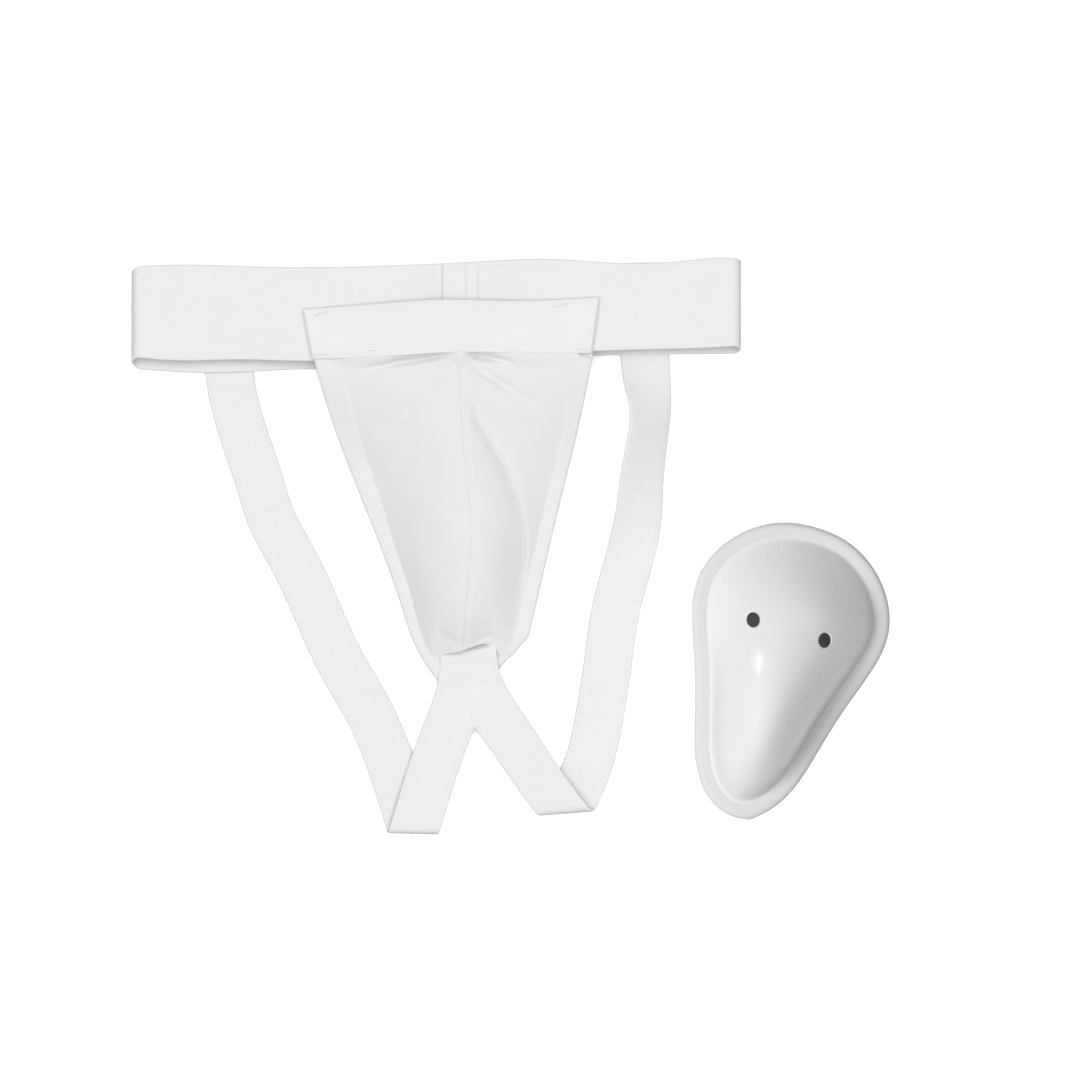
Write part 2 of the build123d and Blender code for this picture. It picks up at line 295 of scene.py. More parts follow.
# the centre seam, as (y, x) and (y, z), and how full the left panel's side is, as (y, power)
SEAM_X = [(-64, -24.8), (-46, -23.6), (-20, -21.4), (4, -19.6), (20, -20.2), (50, -23.6), (84, -25.4),
          (104, -26)]
SEAM_Z = [(-62, 7.6), (-56, 9.6), (-46, 14.6), (-26, 19.2), (4, 21.6), (32, 22.0), (68, 21.4),
          (88, 20.6), (104, 19.6)]
SHOULDER = [(-64, 2.0), (-50, 1.9), (-26, 1.95), (4, 1.95), (34, 1.85), (60, 1.65), (104, 1.5)]
PANEL_TOP = 103.0
PANEL_BOTTOM = -57.0
CLIMB_FROM = 35
CLIMB = 62


def lay(y):
    """Height of the supporter's lowest layer: on the floor below, and over the waistband above."""
    return FRONT_TOP * ease((np.asarray(y, float) - CLIMB_FROM) / CLIMB)


def edge_x(points, y):
    """Where an edge of the pouch is at some y."""
    line = smooth_path(points, 300)
    order = np.argsort(line[:, 1])
    return np.interp(y, line[order, 1], line[order, 0])


def band_arch(u):
    """The top band bows up between its sewn ends, which lie flat."""
    return np.sin(pi * np.clip((u - 0.04) / 0.9, 0, 1)) ** 1.25


BAND_LOWER = [(-105.2, 98.4), (-75, 98.9), (-30, 101.5), (0, 101.4), (43.0, 101.2)]
BAND_UPPER = [(-110.4, 124.6), (-75, 127.4), (-34, 129.9), (0, 129.2), (20, 129.6), (47.4, 131.3)]
BAND_Z = 15.0
BAND_RISE = 7.6


def band_place(u, v):
    """A point of the top band's middle surface: u from left to right, v from lower to upper edge."""
    lower = smooth_path(BAND_LOWER, 200)
    upper = smooth_path(BAND_UPPER, 200)
    even = np.linspace(0, 1, 200)
    low = np.stack([np.interp(u, even, lower[:, k]) for k in range(2)], axis=-1)
    high = np.stack([np.interp(u, even, upper[:, k]) for k in range(2)], axis=-1)
    flat = low + (high - low) * np.asarray(v)[..., None]
    z = BAND_Z - 0.8 * v + band_arch(u) * (BAND_RISE - 6.2 * v)
    z = z + 0.35 * np.sin(u * 17 + 1.2) * np.sin(pi * u) + 0.3 * np.sin(u * 9 + v * 2.5)
    z = z + 0.35 * np.sin(pi * v)
    return np.concatenate([flat, z[..., None]], axis=-1)


def band_underside(x):
    """Height of the top band's lower edge, read at x."""
    u = np.linspace(0, 1, 200)
    line = band_place(u, np.zeros(200))
    return np.interp(x, line[:, 0], line[:, 2]) - TOP_BAND / 2


# -------- waistband

UPPER_FRONT = [(-201, 147.3), (-180, 148.3), (-131, 147.2), (-60, 148), (-25, 149.6), (30, 151),
               (47, 149.8), (90, 150.3), (108, 152), (122, 151.8)]
LOWER_FRONT = [(-201, 99.6), (-190, 98.5), (-172, 97.5), (-150, 98.1), (-115, 97.4), (-40, 100),
               (30, 102), (70, 103.4), (98, 104.1), (122, 105.4)]
LOWER_BACK = [(-201, 93.6), (-190, 92.8), (-165, 91.4), (-131, 92.4), (-60, 95.5), (55, 100.7),
              (122, 101.4)]
BAND_WIDTH = 48.8
# the lap: its visible edge, its hidden end, the gap between its layers, how soon the band dips into it
# and by how much; then the band's faint ripple
LAP_EDGE = -36.7
LAP_END = -14.0
LAP_GAP = 0.15
LAP_RUN = 12
LAP_DIP = 1.6
RIPPLE = 0.18


def waistband_grid():
    """The waistband's middle surface: an elastic loop laid flat, its ends lapped at the front."""
    front = FRONT_TOP - ELASTIC / 2
    back = BACK_BOTTOM + ELASTIC / 2
    r = (front - back) / 2
    left = band_low[0] + ELASTIC / 2 + r
    right = band_high[0] - ELASTIC / 2 - r
    under = front - ELASTIC - LAP_GAP
    path = []
    for x in np.linspace(LAP_END, LAP_EDGE - 1, 20):
        path.append((x, under, 1.0))
    for a in np.linspace(0, 1, 8)[1:]:
        path.append((LAP_EDGE - 1 - 9 * a, under + (front - under) * float(ease(a)), 1.0))
    for x in np.linspace(LAP_EDGE - LAP_RUN, left, 70):
        sag = 1.3 * float(bump(x + 158, 24))
        path.append((x, front - sag + RIPPLE * sin(x / 9.0), 1.0))
    for a in np.linspace(0, pi, 16)[1:]:
        path.append((left - r * sin(a), back + r + r * cos(a), (1 + cos(a)) / 2))
    for x in np.linspace(left, right, 120)[1:]:
        path.append((x, back, 0.0))
    for a in np.linspace(0, pi, 16)[1:]:
        path.append((right + r * sin(a), back + r - r * cos(a), (1 - cos(a)) / 2))
    for x in np.linspace(right, LAP_EDGE, 70)[1:]:
        sag = 1.0 * float(bump(x - 88, 20))
        dip = LAP_DIP * float(ease((LAP_EDGE + LAP_RUN - x) / LAP_RUN))
        path.append((x, front - sag - dip + RIPPLE * sin(x / 8.0), 1.0))
    path = np.array(path)
    x, z, share = path.T
    upper = read(UPPER_FRONT, x) * share + (read(LOWER_BACK, x) + BAND_WIDTH) * (1 - share)
    lower = read(LOWER_FRONT, x) * share + read(LOWER_BACK, x) * (1 - share)
    across = np.linspace(0, 1, 15)
    inset = ELASTIC / 2
    y = (lower + inset)[:, None] + (upper - lower - 2 * inset)[:, None] * across
    wave = 0.25 * np.sin(x / 17.0)[:, None] * np.cos(pi * across)
    z = z[:, None] + wave * np.minimum(1, 20 * share[:, None])
    return np.stack([x[:, None] + 0 * y, y, z], axis=-1)


# -------- leg straps

def crease_axes(angle):
    """Directions along a crease and past it."""
    return np.array([cos(angle), sin(angle)]), np.array([sin(angle), -cos(angle)])


def unfold(points, crease, angle, radius):
    """Where points of the turned-back leg come from on the flat strap."""
    along, past = crease_axes(angle)
    out = []
    for p in points:
        offset = np.array(p) - crease
        out.append(tuple(crease + along * (offset @ along) + past * (pi * radius - offset @ past)))
    return out


# height of the back legs' middle surface, how far the webbing's stiffness evens out its turns, half the
# length of the crease, how soon the front leg settles past it, and half the length of a buckle
BACK_LEG_Z = 0.8
STIFF_LENGTH = 11.0
CREASE_HALF = 18
SETTLE = 42
HILL_REACH = 26


def strap_grid(line, sides, crease, angle, radii, top_z, roll, hills, columns=13):
    """A flat strap along a line, rolled, buckled, and turned back over itself at a crease."""
    path = smooth_path(line, 300)
    s = run_length(path)
    tangent = unit(np.gradient(path, axis=0))
    blend = bump(s[:, None] - s[None, :], STIFF_LENGTH)
    blend = blend / blend.sum(axis=1, keepdims=True)
    tangent = unit(blend @ tangent)
    side = np.stack([tangent[:, 1], -tangent[:, 0]], axis=1)
    w = np.linspace(sides[0] + WEBBING / 2, sides[1] - WEBBING / 2, columns)
    turn = np.radians(blend @ np.interp(s, *zip(*roll)))
    flat = path[:, None] + side[:, None] * (w[None, :] * np.cos(turn)[:, None])[..., None]
    raised = w[None, :] * np.sin(turn)[:, None]
    along, past = crease_axes(angle)
    offset = flat - crease
    c = offset @ along
    d = offset @ past
    share = np.clip((c + CREASE_HALF) / (2 * CREASE_HALF), 0, 1)
    r = radii[0] + (radii[1] - radii[0]) * share
    bend = np.clip(d / r, 0, pi)
    rest = np.maximum(d - pi * r, 0)
    reach = np.where(d <= 0, d, r * np.sin(bend) - rest)
    place = crease + c[..., None] * along + reach[..., None] * past
    for x, y, lean, width, height in hills:
        tilt = radians(lean)
        distance = (place[..., 0] - x) * -sin(tilt) + (place[..., 1] - y) * cos(tilt)
        aside = (place[..., 0] - x) * cos(tilt) + (place[..., 1] - y) * sin(tilt)
        raised = raised + height * bump(distance, width) * bump(aside, HILL_REACH)
    z = BACK_LEG_Z + r * (1 - np.cos(bend))
    z = z + (top_z - BACK_LEG_Z - 2 * r) * ease(rest / SETTLE) * (d > 0) + raised
    return np.concatenate([place, z[..., None]], axis=-1)


# each strap: its crease's place and turn, the fold's radius at the crease's two ends, the height of its
# front leg, and its legs' lines as (x, y)
LEFT_CREASE = np.array([-51.0, -149.5])
LEFT_CREASE_TURN = 0.0
LEFT_FOLD = (2.1, 2.9)
LEFT_FRONT_Z = 4.0
LEFT_BACK_LEG = [(-150.5, 121), (-149, 90), (-145.6, 72), (-133.4, 34), (-127.6, 16), (-114.2, -9.8),
                 (-97, -48), (-87.4, -67), (-76.4, -86), (-65.2, -111.6)]
LEFT_FRONT_LEG = [(-45.6, -130.6), (-35.5, -100.4), (-26.6, -74), (-24.9, -61), (-24.6, -49)]
RIGHT_CREASE = np.array([28.0, -138.2])
RIGHT_CREASE_TURN = radians(7.2)
RIGHT_FOLD = (2.3, 3.9)
RIGHT_FRONT_Z = 5.6
RIGHT_BACK_LEG = [(83.8, 121), (83.9, 98), (84.9, 77), (82.8, 54), (80.8, 34), (79.6, 12), (74.6, -12),
                  (68.2, -36), (64.0, -64), (59.6, -92), (53.4, -119)]
RIGHT_FRONT_LEG = [(28.4, -123.6), (11.0, -98.8), (-1.2, -81), (-5.4, -71), (-6.9, -61), (-7.6, -49)]
# how far each strap is rolled about its own line, as (distance along it, degrees)
LEFT_ROLL = [(0, 0), (420, 0)]
RIGHT_ROLL = [(0, 0), (30, 4), (40, 24), (52, 36), (68, 34), (84, 27), (98, 22), (112, 10), (128, 0),
              (268, 0), (296, -3.2), (420, -4.6)]
# creases across a strap, as x, y, lean in degrees, width and height
STUB_HILLS = [(-25, -64.5, 5, 2.8, -1.3), (-25, -70.0, 5, 2.6, 0.6), (-25, -75.0, 5, 2.8, -0.6)]
LEFT_HILLS = [(-128.5, 21.5, 19, 2.6, 0.9), (-81, -76, 34, 3.0, 0.6), *STUB_HILLS]


# -------- pouch

FOLDS = [
    # start, end, depth, width: soft valleys pressed into the front panels
    ((-20.0, 94.5), (-3.0, 84.0), 2.2, 2.7),
    ((-6.0, 86.0), (12.0, 75.0), 1.6, 3.2),
    ((-19.0, 84.5), (-2.0, 77.5), 0.6, 2.8),
    ((-19.0, 70.0), (-9.0, 54.0), 1.3, 3.2),
    ((-10.5, 56.0), (0.0, 38.0), 1.2, 3.6),
    ((-1.5, 41.0), (7.0, 17.0), 0.8, 4.2),
    ((-68.8, 59.2), (-48.9, 75.5), 1.3, 5.5),
    ((-46.0, 86.5), (-31.3, 91.5), 1.3, 2.6),
    ((-33.0, 17.8), (-21.5, 17.0), 0.6, 3.2),
    ((-38.5, -44.0), (-27.0, -53.0), 0.5, 2.2),
    ((-33.0, -40.0), (-25.5, -47.0), 0.3, 2.4),
    ((-14.5, -50.0), (-18.5, -38.0), 0.4, 2.6),
    ((-20.0, -55.0), (-8.0, -51.0), 0.5, 1.8),
]
PUCKERS = [
    # start, end, depth, width: deep creases where the panels gather under the top band
    ((-73.0, 93.8), (-56.0, 97.2), 2.4, 1.7),
    ((-62.0, 96.2), (-34.0, 100.2), 4.6, 2.0),
    ((-20.0, 100.4), (-2.0, 97.4), 4.2, 1.9),
    ((-44.0, 93.0), (-31.0, 96.6), 1.4, 1.8),
]


def along_fold(x, y, start, end):
    """Distance from a fold's line, and how strong the fold is there."""
    a = np.array(start)
    run = np.array(end) - a
    length = hypot(*run)
    run = run / length
    t = (x - a[0]) * run[0] + (y - a[1]) * run[1]
    d = (x - a[0]) * -run[1] + (y - a[1]) * run[0]
    fade = ease((t + 6) / 12) * ease((length + 7 - t) / 14)
    return d, fade


# least height of a panel over what is under it and height of its foot there, how far the foot reaches
# under the binding, how far each panel runs past the seam, and where they tuck in under the top band
PANEL_CLEAR = 1.7
PANEL_FOOT = 2.0
FOOT_OVERLAP = 2.4
LEFT_PAST_SEAM = 0.55
RIGHT_PAST_SEAM = 1.6
TUCK_FROM = 93
TUCK = 7


def panel_height(u, x, y):
    """Height of a front panel: u from its foot, at the binding, to the centre seam."""
    base = lay(y) + PANEL_FOOT
    top = read(SEAM_Z, y)
    power = read(SHOULDER, y)
    rise = 0.88 * (1 - np.clip(1 - u, 0, 1) ** power) + 0.12 * u
    seam = read(SEAM_X, y)
    valley = read(RIGHT_VALLEY, y)
    floor_share = read(VALLEY_DEPTH, y)
    foot = seam + (x - seam) / np.maximum(1 - u, 1e-3)
    outer = np.clip((foot - x) / np.maximum(foot - valley, 1.0), 0, 1)
    inner = np.clip((valley - x) / np.maximum(valley - seam, 1.0), 0, 1)
    inner = 1.16 * inner ** 2 / (inner + 0.16)
    turned = floor_share * outer ** 0.9 + (1 - floor_share) * (1 - (1 - inner) ** 1.8)
    rise = np.where(x > seam, turned, rise)
    z = base + (top - base) * rise
    for start, end, depth, width in FOLDS:
        d, fade = along_fold(x, y, start, end)
        z = z - depth * fade * (bump(d, width) - 0.2 * bump(d + 1.6 * width, width))
    z = z + 0.25 * np.sin(x / 7.0 + y / 19.0) * np.sin(y / 11.0) * ease(u * 3)
    tuck = ease((y - TUCK_FROM) / TUCK) * ease(u * 9)
    gap = 3.0 * bump(x + 46, 13) + 3.0 * bump(x + 15.5, 8.5) - 1.2 * bump(x + 26.5, 3)
    under = band_underside(x) + 0.9 - gap
    z = z + (under - z) * tuck
    for start, end, depth, width in PUCKERS:
        d, fade = along_fold(x, y, start, end)
        z = z - depth * fade * bump(d, width)
    return np.maximum(z, lay(y) + PANEL_CLEAR)


def panel_grid(side, rows=230, columns=64):
    """One front panel's middle surface, from its foot to the seam and from under the band to the lip."""
    v = np.linspace(0, 1, rows)[:, None]
    u = np.linspace(0, 1, columns)[None, :]
    y = (PANEL_TOP + (PANEL_BOTTOM - PANEL_TOP) * v) * np.ones_like(u)
    seam = read(SEAM_X, y[:, 0])[:, None]
    if side == "left":
        foot = (edge_x(LEFT_EDGE, y[:, 0]) + read(LEFT_BINDING, y[:, 0]) - FOOT_OVERLAP)[:, None]
        end = seam + LEFT_PAST_SEAM
    else:
        foot = (edge_x(RIGHT_EDGE, y[:, 0]) - read(RIGHT_BINDING, y[:, 0]) + FOOT_OVERLAP)[:, None]
        end = seam - RIGHT_PAST_SEAM
    x = foot + (end - foot) * u
    z = panel_height(np.abs(x - foot) / np.abs(seam - foot + 1e-6), x, y)
    if side == "left":
        z = z + 0.3 * bump(x - seam, 1.6)
    else:
        z = z - 1.15 * ease(1 - (x - seam + RIGHT_PAST_SEAM) / 2.4) + 0.2 * bump(x - seam - 2.0, 1.6)
    y = y + (read(LIP, x) - PANEL_BOTTOM) * ease((v - 0.76) / 0.24)
    return np.stack([x, y, z], axis=-1)


BINDING_TOP = 100.5
BINDING_LIFT = 1.1


def binding_grid(edge, widths, side, rows=120, columns=9):
    """The folded strip down one side of the pouch."""
    line = smooth_path(edge, rows)
    line = line[line[:, 1] < BINDING_TOP]
    tangent = unit(np.gradient(line, axis=0))
    inward = np.stack([-tangent[:, 1], tangent[:, 0]], axis=1) * (1 if side == "left" else -1)
    width = read(widths, line[:, 1])
    a = np.linspace(0, 1, columns)
    w = BINDING / 2 + (width[:, None] - BINDING) * a
    flat = line[:, None] + inward[:, None] * w[..., None]
    z = lay(flat[..., 1]) + BINDING_LIFT + BINDING / 2 + 0.22 * np.sin(pi * a)
    z = z - 1.0 * ease((flat[..., 1] - 90) / 10)
    z = z + 0.14 * np.sin(flat[..., 1] / 4.1 + flat[..., 0] / 3.0)
    return np.concatenate([flat, z[..., None]], axis=-1)


def back_panel_grid(rows=90, columns=24):
    """The pouch's back layer, which the waistband's front half carries."""
    y = np.linspace(121.5, -66, rows)
    left = edge_x(LEFT_EDGE, y) + 0.6
    right = edge_x(RIGHT_EDGE, y) - 0.6
    u = np.linspace(0, 1, columns)
    x = left[:, None] + (right - left)[:, None] * u
    z = lay(y)[:, None] + 0.5 + 0 * x
    return np.stack([x, y[:, None] + 0 * x, z], axis=-1)


# -------- cup

# where the cup lies and how far it is turned, and one half of its outline in its own axes
CUP_AT = np.array([145.95, -44.3])
CUP_TURN = radians(16)
CUP_HALF = [(0, 56), (20.5, 52.6), (36.8, 42.4), (48.6, 26.5), (52.6, 11.5), (48.9, -10.6),
            (41.5, -31.8), (35.2, -53), (30.6, -70), (24.6, -85), (14.8, -97.2), (0, -103)]
AROUND = 240


def closed_curve(ring, count, wrap=4):
    """Points along the smooth closed curve through a ring of chosen ones."""
    p = np.array([*ring[-wrap:], *ring, *ring[:wrap + 1]], float)
    t = run_length(p)
    return cubic(t, p, np.linspace(t[wrap], t[wrap + len(ring)], count, endpoint=False))


def cup_line():
    """The cup's outline in its own axes, evenly spaced, going round once."""
    other_half = [(-x, y) for x, y in CUP_HALF[-2:0:-1]]
    fine = closed_curve(CUP_HALF + other_half, 3000)
    fine = np.concatenate([fine, fine[:1]])
    s = run_length(fine)
    even = np.linspace(0, s[-1], AROUND, endpoint=False)
    return np.stack([np.interp(even, s, column) for column in fine.T], axis=1)


OUTLINE = cup_line()


def placed(flat, z):
    """Points in the cup's own axes, put where the cup lies."""
    x = flat[:, 0] * cos(CUP_TURN) + flat[:, 1] * sin(CUP_TURN) + CUP_AT[0]
    y = -flat[:, 0] * sin(CUP_TURN) + flat[:, 1] * cos(CUP_TURN) + CUP_AT[1]
    return np.stack([x, y, np.broadcast_to(z, x.shape)], axis=1)


WALL = 3.0
UNDERSIDE = 2.7
RIM_TOP = 5.6
VALLEY_Z = 4.9
# how far in from the outline the shell leaves the rim, where its dome starts, and how wide the dome's
# first slope is; then how many rings go on to the crown, and where that is
FOOT = 7.6
DOME_INSET = FOOT + 1.3
NEAR = 4.0
STEPS = 44
CROWN_SPOT = np.array([0.0, -6.0])


def softness(flat):
    """Where the dome flows into the rim, 1 on its left and at its tip, and where a crease parts them, 0."""
    x, y = flat.T
    left = ease((18 - x) / 56)
    tip = 0.7 * ease((-62 - y) / 34)
    head = 0.6 * ease((y - 8) / 42)
    return 1 - (1 - left) * (1 - tip) * (1 - head)


def inset_outline(inset):
    """The outline moved inwards, in the cup's own axes."""
    tangent = unit(np.roll(OUTLINE, -1, axis=0) - np.roll(OUTLINE, 1, axis=0))
    return OUTLINE + np.stack([tangent[:, 1], -tangent[:, 0]], axis=1) * inset


def inside(ring, x, y):
    """Which places are inside a closed ring."""
    hit = np.zeros(x.shape, bool)
    for (ax, ay), (bx, by) in zip(ring, np.roll(ring, -1, axis=0)):
        crosses = (ay > y) != (by > y)
        hit ^= crosses & (x < (bx - ax) * (y - ay) / (by - ay + 1e-12) + ax)
    return hit


def swell(ring, pitch=1.0, rounds=1500, over=1.9):
    """How high a thin skin held along a ring rises when blown up, its highest point 1."""
    xs = np.arange(ring[:, 0].min() - 3, ring[:, 0].max() + 3, pitch)
    ys = np.arange(ring[:, 1].min() - 3, ring[:, 1].max() + 3, pitch)
    x, y = np.meshgrid(xs, ys, indexing="ij")
    free = inside(ring, x, y)
    push = (1 + 3.2 * ease((10 - y) / 95)) * pitch**2
    rise = np.zeros(x.shape)
    odd = (np.add.outer(np.arange(len(xs)), np.arange(len(ys))) % 2).astype(bool)
    for _ in range(rounds):
        for half in (odd, ~odd):
            beside = np.roll(rise, 1, 0) + np.roll(rise, -1, 0)
            beside = beside + np.roll(rise, 1, 1) + np.roll(rise, -1, 1)
            rise = np.where(free & half, rise + over * ((beside + push) / 4 - rise), rise)
    return xs, ys, rise / rise.max()


def dome_rings():
    """Rings of the dome in its own axes, foot to crown, with each point's share of the height."""
    xs, ys, rise = swell(inset_outline(DOME_INSET))
    rings = []
    shares = []

    def level(flat):
        i = np.clip((flat[:, 0] - xs[0]) / (xs[1] - xs[0]), 0, len(xs) - 1.001)
        j = np.clip((flat[:, 1] - ys[0]) / (ys[1] - ys[0]), 0, len(ys) - 1.001)
        a, b = i.astype(int), j.astype(int)
        p, q = i - a, j - b
        return (rise[a, b] * (1 - p) * (1 - q) + rise[a + 1, b] * p * (1 - q)
                + rise[a, b + 1] * (1 - p) * q + rise[a + 1, b + 1] * p * q)

    first = inset_outline(DOME_INSET + NEAR)
    foot = level(first)
    for d in (0.0, 0.12, 0.4, 0.8, 1.3, 1.9, 2.6, 3.3):
        rings.append(inset_outline(DOME_INSET + d))
        shares.append(foot * d / NEAR)
    for k in range(STEPS):
        flat = first * (1 - k / STEPS) + CROWN_SPOT * (k / STEPS)
        rings.append(flat)
        shares.append(level(flat))
    return rings, [share ** (0.66 + 0.56 * softness(flat)) for flat, share in zip(rings, shares)]


# the shell's foot under and beside the rim: how far in, its height, and how much the soft side changes it
SHELL_FOOT = [(4.2, UNDERSIDE, 0.0), (4.2, 4.4, 0.0), (FOOT - 1.0, VALLEY_Z - 0.1, 0.5),
              (FOOT - 0.2, VALLEY_Z + 0.05, 0.6), (FOOT + 0.4, VALLEY_Z + 0.3, 0.5),
              (FOOT + 0.9, VALLEY_Z + 0.75, 0.25)]
INNER_SCALE = 1 - WALL / 48


def cup_mesh():
    """The shell as one closed skin: its outside and its inside, joined round the foot."""
    soft = softness(OUTLINE)
    outer = [placed(inset_outline(inset), z + gain * soft) for inset, z, gain in SHELL_FOOT]
    low = VALLEY_Z + 1.4 - 0.25 * soft
    inner = [placed(inset_outline(FOOT + 1.2 + WALL), UNDERSIDE)]
    flats, shares = dome_rings()
    for flat, share in zip(flats, shares):
        outer.append(placed(flat, low + (CUP_HEIGHT - low) * share))
    for flat, share in zip(flats[3:], shares[3:]):
        shrunk = (flat - CROWN_SPOT) * INNER_SCALE + CROWN_SPOT
        inner.append(placed(shrunk, UNDERSIDE + (CUP_HEIGHT - WALL - UNDERSIDE) * share))
    vertices = []
    faces = []
    for group in (outer, inner):
        start = len(vertices)
        last = start + (len(group) - 1) * AROUND
        vertices.extend(np.concatenate(group))
        for place in range(start, last, AROUND):
            faces.extend(bridge(place, place + AROUND, AROUND))
        tip = len(vertices)
        vertices.append(np.mean(vertices[last:tip], axis=0))
        faces.extend((last + j, last + (j + 1) % AROUND, tip) for j in range(AROUND))
    faces.extend(bridge(0, len(outer) * AROUND + 1, AROUND))
    return make_object("cup_dome", vertices, faces)


# the rim's section, as (distance in from the outline, height)
RIM_SECTION = [(3.4, 0.0), (1.4, 0.25), (0.35, 1.1), (0.0, 2.4), (0.25, 3.8), (1.1, 4.9),
               (2.5, RIM_TOP - 0.1), (3.9, RIM_TOP + 0.02), (5.3, RIM_TOP - 0.2), (6.6, VALLEY_Z + 0.15),
               (7.6, VALLEY_Z - 0.1), (8.6, VALLEY_Z - 0.6), (8.8, 3.2), (8.8, 1.2), (8.2, 0.2), (6.8, 0.0)]
RIM_POINTS = 40
# the small point at the cup's tip: its place, reach, and how far it is drawn out
NIB_AT = np.array([8.9, -101.0])
NIB_REACH = 4.5
NIB_DRAW = 1.6 * np.array([0.3, -0.95])


def cup_rim():
    """The soft rolled edge round the cup: low outside, crowned, then dipping to meet the dome."""
    soft = softness(OUTLINE)
    vertices = []
    for inset, z in closed_curve(RIM_SECTION, RIM_POINTS, 3):
        lift = 0.75 * soft * float(bump(inset - 7.4, 2.0)) * (z > 4)
        flat = inset_outline(max(inset, 0.0))
        nib = np.exp(-np.linalg.norm(flat - NIB_AT, axis=1) / NIB_REACH) * max(0.0, 1 - inset / 4)
        vertices.extend(placed(flat + NIB_DRAW * nib[:, None], max(z, 0.0) + lift))
    faces = []
    for k in range(RIM_POINTS):
        faces.extend(bridge(k * AROUND, (k + 1) % RIM_POINTS * AROUND, AROUND))
    return make_object("cup_soft_edge", vertices, faces)


# the vents' distance from the cup's middle line, and how much narrower and taller than round they are
VENT_OUT = 19.3
VENT_WIDE = 0.93
VENT_TALL = 1.1
# the vent's radius, from below the wall to just above the dome's skin, as (height above it, radius)
VENT_PROFILE = [(-20, 3.5), (-2.6, 3.5), (-1.2, 3.55), (-0.5, 3.75), (0.15, 4.25)]
VENT_CLEAR = (62, 6.2)


def cut_vents(piece, count=48):
    """Two round vents through the dome, their mouths softened along its slope."""
    for side in (-1, 1):
        at = placed(np.array([[VENT_OUT * side, 0.0]]), 90)[0]
        _, place, normal, _ = piece.ray_cast(Vector(at) * MM, Vector((0, 0, -1)))
        slope = (-normal.x / normal.z, -normal.y / normal.z)
        vertices = []
        for z, r in [(place.z / MM + rise, r) for rise, r in VENT_PROFILE] + [VENT_CLEAR]:
            for k in range(count):
                a = 2 * pi * k / count
                dx, dy = VENT_WIDE * r * cos(a), VENT_TALL * r * sin(a)
                vertices.append((at[0] + dx, at[1] + dy, z + dx * slope[0] + dy * slope[1]))
        last = len(vertices) - count
        faces = [tuple(range(count)), tuple(range(last, last + count))]
        for start in range(0, last, count):
            faces.extend(bridge(start, start + count, count))
        cutter = make_object("vent_cutter", vertices, faces)
        cut = piece.modifiers.new("vent", "BOOLEAN")
        cut.operation = "DIFFERENCE"
        cut.solver = "EXACT"
        cut.object = cutter
        graph = bpy.context.evaluated_depsgraph_get()
        done = bpy.data.meshes.new_from_object(piece.evaluated_get(graph))
        piece.modifiers.clear()
        piece.data = done
        bpy.data.objects.remove(cutter)


# -------- materials

def material(name, colour, rough, sheen=0.0, specular=0.35, coat=0.0):
    """A Principled material and its node tree, with its steady values set on the shader itself."""
    made = bpy.data.materials.new(name)
    made.use_nodes = True
    tree = made.node_tree
    body = tree.nodes["Principled BSDF"]
    body.inputs["Base Color"].default_value = (*colour, 1)
    body.inputs["Roughness"].default_value = rough
    body.inputs["Sheen Weight"].default_value = sheen
    body.inputs["Sheen Roughness"].default_value = 0.45
    body.inputs["Specular IOR Level"].default_value = specular
    body.inputs["Coat Weight"].default_value = coat
    body.inputs["Coat Roughness"].default_value = 0.3
    return made, tree, body


def node(tree, kind, values=None, **settings):
    """One shader node with its input values and settings."""
    made = tree.nodes.new(kind)
    for key, value in settings.items():
        setattr(made, key, value)
    for key, value in (values or {}).items():
        made.inputs[key].default_value = value
    return made


def maths(tree, operation, a, b=0.0):
    """A Math node's result from sockets or numbers."""
    made = tree.nodes.new("ShaderNodeMath")
    made.operation = operation
    for place, value in enumerate((a, b)):
        if isinstance(value, (int, float)):
            made.inputs[place].default_value = value
        else:
            tree.links.new(value, made.inputs[place])
    return made.outputs[0]


def mix_colours(tree, amount, first, second):
    """Blend of two colours, each a socket or a plain colour, by a socket's value."""
    made = tree.nodes.new("ShaderNodeMix")
    made.data_type = "RGBA"
    tree.links.new(amount, made.inputs[0])
    for place, value in ((6, first), (7, second)):
        if isinstance(value, tuple):
            made.inputs[place].default_value = (*value, 1)
        else:
            tree.links.new(value, made.inputs[place])
    return made.outputs[2]


def noise(tree, coordinates, scale, detail=3.0, rough=0.55):
    """A Noise texture's value on some coordinates."""
    made = node(tree, "ShaderNodeTexNoise", {"Scale": scale, "Detail": detail, "Roughness": rough})
    tree.links.new(coordinates, made.inputs["Vector"])
    return made.outputs[0]


def ramp(tree, value, low, high):
    """Stretches a value from low..high to 0..1, held at its ends."""
    made = node(tree, "ShaderNodeMapRange", {"From Min": low, "From Max": high})
    made.clamp = True
    tree.links.new(value, made.inputs["Value"])
    return made.outputs[0]


def bump_node(tree, height, strength, distance, under=None):
    """A Bump node over an optional coarser one."""
    made = node(tree, "ShaderNodeBump", {"Strength": strength, "Distance": distance})
    tree.links.new(height, made.inputs["Height"])
    if under is not None:
        tree.links.new(under, made.inputs["Normal"])
    return made.outputs[0]


